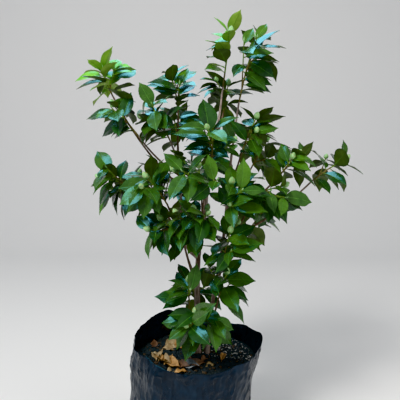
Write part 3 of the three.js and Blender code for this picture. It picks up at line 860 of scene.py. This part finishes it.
def flower_bud(place, axis, length, seed):
    """A plump bud: a core, and scales that lap over it from the base up."""
    random = Seeded(seed)
    u, v = around(axis, 0), around(axis, 90)
    wide = length * random(0.32, 0.36)
    h = np.linspace(0.01, 1, 12)
    core = tube(place + np.outer(h * length, axis), egg(h) * wide + 0.3, 12)
    parts = [skins(core[None], 0)]
    turn = random(0, 360)
    last = SCALES - 1
    for i in range(SCALES):
        low, high = mix(-0.02, 0.3, i / last), mix(0.36, 1.0, i / last)
        middle = radians(turn + i * LEAF["spiral"])
        t = np.linspace(0, 1, 8)[:, None]
        s = np.array([-1, -0.6, 0, 0.6, 1, 0.6, 0, -0.6])[None]
        outside = np.array([0, 1, 1, 1, 0, 0, 0, 0])[None]
        spread = mix(1.25, 0.95, i / last) * np.sqrt(np.clip(1 - t ** 2.6, 0.004, 1))
        height = mix(low, high, t)
        angle = middle + s * spread
        lift = mix(0.15, 0.5, outside) * (1 - 0.2 * i / last) + 0.25 * t
        radius = egg(height) * wide * (1 + 0.03 * (last - i) / last) + lift + 0.3
        across = np.cos(angle)[..., None] * u + np.sin(angle)[..., None] * v
        rings = place + (height * length * np.ones_like(s))[..., None] * axis + across * radius[..., None]
        kinds = np.array([0] * 6 + [1])[None, :, None]  # with a brown edge
        parts.append(skins(rings[None], kinds))
    return parts


def leaf_bud(place, axis, length):
    h = np.linspace(0, 1, 9)
    slim = length * 0.16 * np.sin(pi * np.clip(h * 0.92 + 0.08, 0, 1) ** 0.6) + 0.12
    return skins(tube(place + np.outer(h * length, axis), slim, 8)[None], 0)


bud_parts, tip_parts = [], []
for index, (twigs, _) in enumerate(masses.values()):
    random = Seeded(SEEDS["buds"] + index)
    for k, twig in enumerate(twigs):
        place, axis = on_line(twig["curve"], 1)
        way = unit(axis + UP * 0.3)
        if k == 0 or random(0, 1) < 0.4:
            length = random(*(FIRST_BUD if k == 0 else SIDE_BUD))
            bud_parts += flower_bud(place - way * 1.5, way, length, SEEDS["next_bud"] * index + k)
            away = unit(way + around(way, random(0, 360)) * 0.8)
            tip_parts.append(leaf_bud(place - away, away, random(8, 11)))
        else:
            tip_parts.append(leaf_bud(place - way, way, random(8, 12)))
made = piece("flower_buds", bud_parts, BUD_FINISHES)
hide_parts(*[f"foliage_{name}" for name in MASSES])
made = piece("leaf_buds", tip_parts, [BUD_FINISHES[0]])

# ---- Stems and boughs ----

FOOT = 9  # how deep a stem goes into the compost


def barky(seed, step):
    """A limb's relief: long ridges, small lumps, and a ring at each old joint."""
    def relief(angle, length, radius):
        ridges = 0.05 * radius * np.sin(5 * angle + length / 40 + seed) * np.sin(length / 23 + seed)
        place = xyz(radius * np.cos(angle), radius * np.sin(angle), length + 90 * seed)
        lumps = 0.09 * radius ** 0.7 * (rough(place * vec(1, 1, 0.35), 2.2) + 0.8 * rough(place, 9))
        ring = 0.09 * radius * np.exp(-(((length + seed * 11) % step - step / 2) / 1.5) ** 2)
        return ridges + lumps + ring
    return relief


def rooted(bark):
    """A stem's relief: its bark's, and a flare at its foot that gathers into a few roots."""
    def relief(angle, length, radius):
        roots = 0.22 * radius * np.exp(-length / 11) * np.cos(3 * angle + 0.7)
        return bark(angle, length, radius) + roots
    return relief


def collar(points, size, fade):
    """What the swelling where a limb forks off adds to its radii."""
    return size * np.exp(-np.linalg.norm(points - points[0], axis=1) / fade)


stem_parts = []
for k, stem in enumerate(STEMS.values()):
    points, radii = stem_line(stem, 14)
    bark = barky(k + 1, 34)
    if "forked" in stem:
        radii = radii + collar(points, 1.6, 9)
    else:
        points = np.concatenate([points[:1] - UP * FOOT, points])
        radii = np.concatenate([radii[:1] * 1.15, radii])
        bark = rooted(bark)
    points, radii, _ = resampled(points, radii, 200)
    stem_parts.append(skins(tube(points, radii, 20, bark)[None], 0))
made = piece("bark_stems", stem_parts, [BARK])
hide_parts(*[f"stem_{name}" for name in STEMS])

bough_parts = []
for k, row in enumerate(MASSES.values()):
    if not row["fork"]:
        continue
    points, radii = bough_line(stems[row["stem"]], row["fork"], row["tip"], 24)
    points, radii, _ = resampled(points, radii + collar(points, 0.9, 7), 64)
    bough_parts.append(skins(tube(points, radii, 12, barky(k + 7, 21))[None], 0))
made = piece("bark_boughs", bough_parts, [BOUGH_BARK])
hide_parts(*[f"bough_{name}" for name in boughs])

# ---- Bag ----

FILM = 0.8  # its thickness in the look
BAG_SIDES, BED_SIDES = 420, 300


def bag_radius(z):
    """The bag's plain radius at a height. This, its broad creases and its rim's wave are the solids'."""
    low, high = smooth(z, 0, 110), smooth(z, 160, BAG["rim"])
    return BAG["foot"] + (BAG["belly"] - BAG["foot"]) * low + (BAG["mouth"] - BAG["belly"]) * high


def crease(angle, z):
    folds = 2.2 * np.cos(5 * angle + 0.6 + z / 90) + 1.2 * np.cos(9 * angle - 1.1 - z / 60)
    mouth = 3 * np.cos(4 * angle + 0.8) + 2.4 * np.cos(7 * angle)
    return smooth(z, 0, 60) * folds + smooth(z, COMPOST - 10, BAG["rim"]) * mouth


def rim_wave(angle):
    rises = sum(height * np.exp(-(((angle - at) / spread) ** 2)) for height, at, spread in RIM_RISES)
    return rises + 3 * np.cos(3 * angle) + 2 * np.cos(8 * angle + 1)


def crumple(angle, z):
    """Small folds of the film: slack dents, sharp creases, and upright pleats at the left."""
    p = xyz(np.cos(angle) * 3.2, np.sin(angle) * 3.2, z / 58)

    def ridges(stretch, size, depth):
        return np.clip(1 - abs(rough(p * stretch, size, depth)) * 3, 0, 1) ** 2

    dents = rough(p, 1.1)
    creases = ridges(vec(1, 1, 0.6), 0.9, 3)
    pleats = ridges(vec(2, 2, 0.3), 0.7, 2) * (0.5 - 0.5 * np.cos(angle))
    return smooth(z, 4, 50) * (3.4 * dents + 2.6 * creases + 1.3 * smooth(z, 60, 250) * pleats - 1)


def bag_places(angle, share, inset, z):
    """Places at a share of the way out to the bag's wall, an inset from it, and a height before the wave."""
    out = bag_radius(z) + crease(angle, z) * share + crumple(angle, z) * share - inset
    x = share * out * np.cos(angle) + BAG["lean"] * (z / BAG["rim"]) ** 2
    y = share * out * np.sin(angle)
    wave = rim_wave(angle) + 1.2 * np.sin(17 * angle) * np.sin(5 * angle)
    return xyz(x, y, z + smooth(z, COMPOST, BAG["rim"]) * wave)


def turned_places(profile, sides):
    """The rings of a profile of shares, insets and heights, all round the bag."""
    angle = -pi + np.arange(sides)[None] / sides * 2 * pi
    share, inset, z = (np.array(column)[:, None] for column in zip(*profile))
    return bag_places(angle, share, inset, z)


heights = np.concatenate([[0.6, 3, 7], np.linspace(12, 260, 60), np.linspace(263, BAG["rim"] - 0.6, 24)])
outside = [(share, 0, 0) for share in (0.01, 0.5, 0.9, 0.985)] + [(1, 0, z) for z in heights]
inside = [(1, FILM, z) for z in heights[::-1] if z > 30] + [(share, FILM, 2) for share in (0.9, 0.5, 0.01)]
profile = outside + [(1, FILM / 2, BAG["rim"])] + inside
kinds = np.array([0] * (len(outside) + 1) + [1] * (len(inside) - 1))[None, :, None]
made = piece("poly_bag", [skins(turned_places(profile, BAG_SIDES)[None], kinds, 0, 1)], FILM_FINISHES)
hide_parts("grow_bag")

# ---- Compost and what lies on it ----

MOUND = dict(x=34, y=6, height=7, radius=46)
CLEAR = FILM + 2.2  # between the bag's surface and the compost's edge
SLACK = 9  # the same lower down, where the film hides it
BITS = 2600
PERLITE = 2  # the last of the finishes of the bits
PERLITE_ARC = (-16, 78)  # azimuths between which the photo shows it
LUMP_ROWS, LUMP_SIDES = 5, 7
BROWN = 2  # the finish of a dry leaf's midrib and stalk
DRY_TONES = (0, 1, 0, 2, 1, 0, 3, 1, 2)


def ground(p):
    """The height of the compost's top at an array of places: a low mound at the stems, and crumbs."""
    d = np.hypot(p[..., 0] - MOUND["x"], p[..., 1] - MOUND["y"])
    crumbs = 3.4 * rough(p, 11, 4) + 3.6 * rough(p, 38, 2)
    return COMPOST - 4 + MOUND["height"] * np.exp(-(d / MOUND["radius"]) ** 2) + crumbs


wall = [(0.01, SLACK, 3), (0.9, SLACK, 3)] + [(1, SLACK, z) for z in (20, 60, 120, 180, 240)]
wall += [(1, mix(SLACK, CLEAR, smooth(z, 240, 262)), z) for z in np.linspace(244, 262, 10)]
shares = [*np.linspace(1, 0.1, 80), 0.01]
top = turned_places([(share, CLEAR, COMPOST) for share in shares], BED_SIDES)
top[..., 2] = ground(top * vec(1, 1, 0)) - 5 * smooth(np.array(shares)[:, None], 0.94, 1)
bed = np.concatenate([turned_places(wall, BED_SIDES), top])
made = piece("compost_bed", [skins(bed[None], 0)], [EARTH])
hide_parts("compost")


def lump(place, size, random):
    """A small clod or chip with its own proportions."""
    h = np.linspace(-0.92, 0.92, LUMP_ROWS)
    turn = np.arange(LUMP_SIDES) / LUMP_SIDES * 2 * pi
    girth = np.sqrt(1 - h * h)[:, None]
    p = xyz(girth * np.cos(turn), girth * np.sin(turn), h[:, None])
    knobs = np.array([[random(-1, 1) for _ in range(LUMP_SIDES)] for _ in range(LUMP_ROWS)])
    p = p * (1 + 0.22 * knobs)[..., None]
    p = p * vec(random(0.7, 1.3), random(0.6, 1), random(0.4, 0.7)) * size
    spin = random(0, 6.3)
    c, s = cos(spin), sin(spin)
    return place + p @ np.array([[c, s, 0], [-s, c, 0], [0, 0, 1]])


def over_compost(random, reach, azimuth):
    """A random place on the compost's top."""
    a = radians(random(*azimuth))
    out = sqrt(random(0.01, reach ** 2))
    p = bag_places(np.array([a]), out, CLEAR, COMPOST)[0]
    p[2] = ground(p * vec(1, 1, 0))
    return p


random = Seeded(SEEDS["bits"])
bits, kinds = [], []
for _ in range(BITS):
    size = 1.5 + 4.5 * random(0, 1) ** 3
    luck = random(0, 1)
    kind = 0 if luck < 0.55 else 1 if luck < 0.7 else PERLITE
    place = over_compost(random, 0.93, PERLITE_ARC if kind == PERLITE else (0, 360))
    bits.append(lump(place + UP * size * 0.15, size * (0.5 if kind == PERLITE else 1), random))
    kinds.append(np.full((LUMP_ROWS - 1, LUMP_SIDES), kind))
made = piece("compost_bits", [skins(np.array(bits), np.array(kinds))], BIT_FINISHES)


def litter():
    """The dry leaves of the solids, to one side of the stems, and smaller ones among them."""
    random = Seeded(SEEDS["litter"])
    leaves = []
    for _ in range(9):
        azimuth = random(150, 250)
        place = vec(BED_X, 0, COMPOST - 1) + heading(azimuth, 0) * random(66, 108)
        length = random(44, 60)
        slim, arch = random(0.2, 0.28) * 2, random(-0.05, 0.1)
        leaves.append(Leaf(place, heading(azimuth + random(80, 150), 10), 0, 0, 0, 0, length, slim, arch, 1))
    for _ in range(14):
        place = over_compost(random, 0.9, (120, 330))
        way = heading(random(0, 360), random(-4, 16))
        sizes = random(30, 52), random(0.4, 0.6), random(-0.12, 0.2)
        leaves.append(Leaf(place + UP * 2, way, 0, 0, 0, random(-25, 25), *sizes, 1))
    return leaves


leaves = litter()
tones = [DRY_TONES[k % len(DRY_TONES)] for k in range(len(leaves))]
places, faces = leaf_skins(leaves, tones, tones, SEEDS["dry"], curl=1)
faces = [(face, np.where(np.isin(kind, (MIDRIB, STALK)), BROWN, kind)) for face, kind in faces]
made = piece("dry_leaves", [(places, faces)], DRY_FINISHES)

# ---- Floor, light and camera ----

WIDE = 5  # half the floor's width, and the backdrop's height
BEND = 1.4  # radius of the sweep from the floor up to the backdrop
BEHIND = 2.2  # where the sweep starts, behind the shrub
WARM, WARMER, CYAN = (1.0, 0.98, 0.95), (1.0, 0.96, 0.9), (0.22, 0.72, 0.95)

turns = np.linspace(0, pi / 2, 24)
sweep = [(-WIDE, 0)] + [(BEHIND + BEND * sin(a), BEND - BEND * cos(a)) for a in turns]
sweep += [(BEHIND + BEND, WIDE)]
mesh = bpy.data.meshes.new("floor")
corners = [(x, y, z) for y, z in sweep for x in (-WIDE, WIDE)]
mesh.from_pydata(corners, [], [(k, k + 1, k + 3, k + 2) for k in range(0, 2 * len(sweep) - 2, 2)])
mesh.shade_smooth()
floor = bpy.data.objects.new("floor", mesh)
bpy.context.scene.collection.objects.link(floor)
plain = Finish("floor_plain", Base_Color=(0.84, 0.83, 0.82, 1), Roughness=0.9)
mesh.materials.append(plain.material)

world = bpy.data.worlds.new("studio")
world.use_nodes = True
background = world.node_tree.nodes["Background"].inputs
background["Color"].default_value = (0.86, 0.9, 0.95, 1)
background["Strength"].default_value = 0.6
bpy.context.scene.world = world
bpy.context.scene.view_settings.view_transform = "Khronos PBR Neutral"
bpy.context.scene.view_settings.exposure = -0.25


def area_light(name, place, aim, size, power, colour, sheen=False):
    """A round lamp. One for sheen gives only highlights, and the others only diffuse light."""
    lamp = bpy.data.lights.new(name, "AREA")
    lamp.shape, lamp.size, lamp.energy, lamp.color = "DISK", size, power, colour
    made = bpy.data.objects.new(name, lamp)
    made.location = place
    made.rotation_euler = (Vector(aim) - Vector(place)).to_track_quat("-Z", "Y").to_euler()
    made.visible_glossy, made.visible_diffuse = sheen, not sheen
    bpy.context.scene.collection.objects.link(made)


area_light("key", (-1.1, -1.7, 2.6), (0, 0, 0.6), 0.9, 96, WARM)
area_light("fill", (2.2, -1.2, 1.4), (0, 0, 0.5), 1.6, 26, WARMER)
area_light("window", (-1.9, -0.9, 2.1), (0, 0, 0.6), 1.5, 52, CYAN, sheen=True)
area_light("sky", (-0.4, 0.9, 2.5), (0, 0, 0.6), 1.5, 36, CYAN, sheen=True)

lens = bpy.data.cameras.new("camera")
lens.lens, lens.sensor_width = 43.46, 36
camera = bpy.data.objects.new("camera", lens)
camera.location = (0.030, -1.159, 0.789)
camera.rotation_euler = (radians(83.5), 0, 0)
bpy.context.scene.collection.objects.link(camera)
bpy.context.scene.camera = camera
